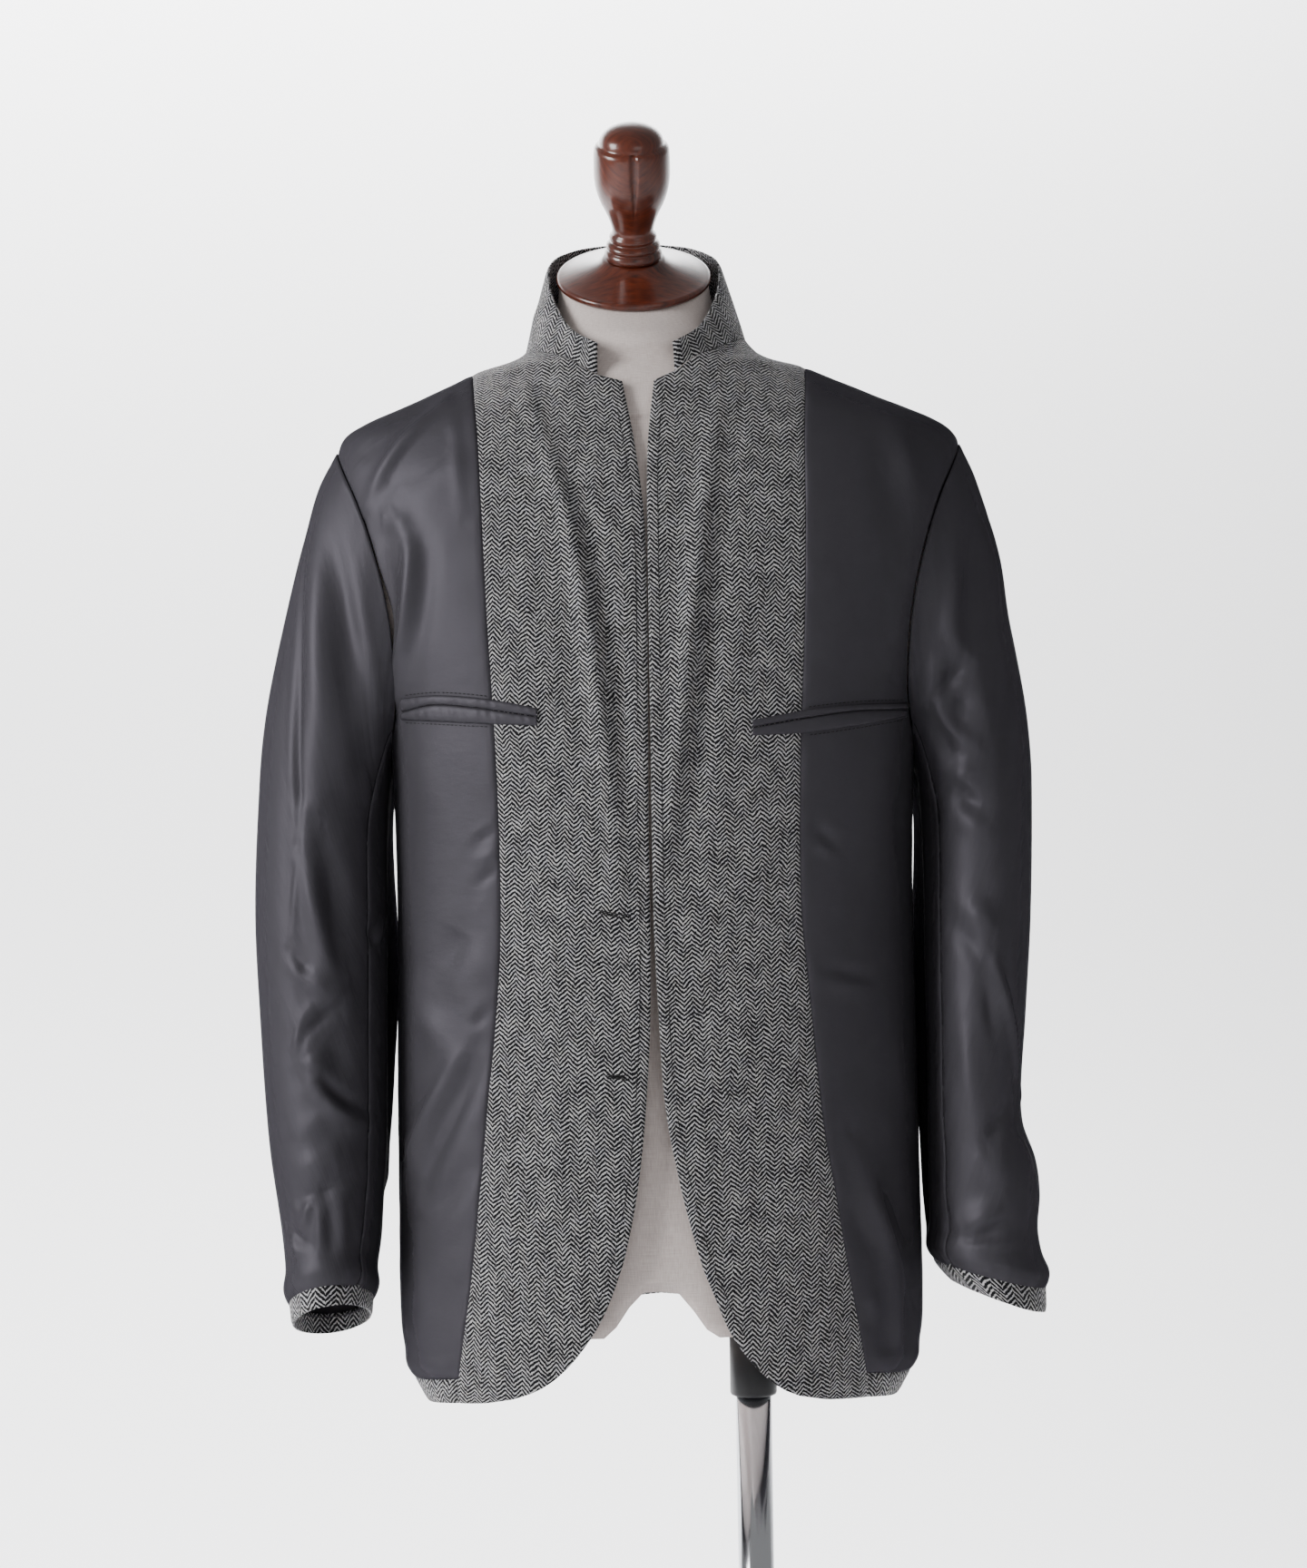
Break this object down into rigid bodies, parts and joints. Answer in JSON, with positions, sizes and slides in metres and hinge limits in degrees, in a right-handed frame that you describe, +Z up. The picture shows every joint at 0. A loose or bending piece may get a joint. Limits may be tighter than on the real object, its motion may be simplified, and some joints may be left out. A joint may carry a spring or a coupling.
{
  "type": "tailored jacket worn inside out on a limbless dress form with a stand",
  "caption": "Tailored jacket turned inside out, tweed facings, satin lining and jetted inner pockets, worn on a limbless linen dress form on a pole with a round foot",
  "frame": {"origin": "centre of the stand's foot plate, on its underside, on the axis of the pole", "axes": "+Z up along the pole, -Y to the jacket's front, +X to the right as seen from the front"},
  "size_m": [0.5568, 0.38, 1.6451],
  "materials": {
    "tweed": "black and off-white herringbone wool tweed",
    "satin": "charcoal satin lining with a soft sheen",
    "linen": "plain weave linen cover, matt",
    "mahogany": "dark red mahogany, gloss lacquer",
    "black_plastic": "black plastic, satin",
    "chrome": "polished chrome",
    "foot": "polished steel plate"
  },
  "bodies": {
    "root": {"facing_left": "tweed", "facing_right": "tweed", "collar": "tweed", "hem_front_left": "tweed", "hem_front_right": "tweed", "hem_back_left": "tweed", "hem_back_right": "tweed", "cuff_left": "tweed", "cuff_right": "tweed", "lining_front_left": "satin", "lining_front_right": "satin", "lining_back_left": "satin", "lining_back_right": "satin", "sleeve_upper_left": "satin", "sleeve_upper_right": "satin", "sleeve_under_left": "satin", "sleeve_under_right": "satin", "pocket_welt_upper_left": "satin", "pocket_welt_lower_left": "satin", "pocket_welt_upper_right": "satin", "pocket_welt_lower_right": "satin", "form_torso": "linen", "neck_cap": "mahogany", "finial": "mahogany", "leg_fitting": "black_plastic", "pole_sleeve": "black_plastic", "pole": "chrome", "foot_plate": "foot"}
  },
  "joints": []
}
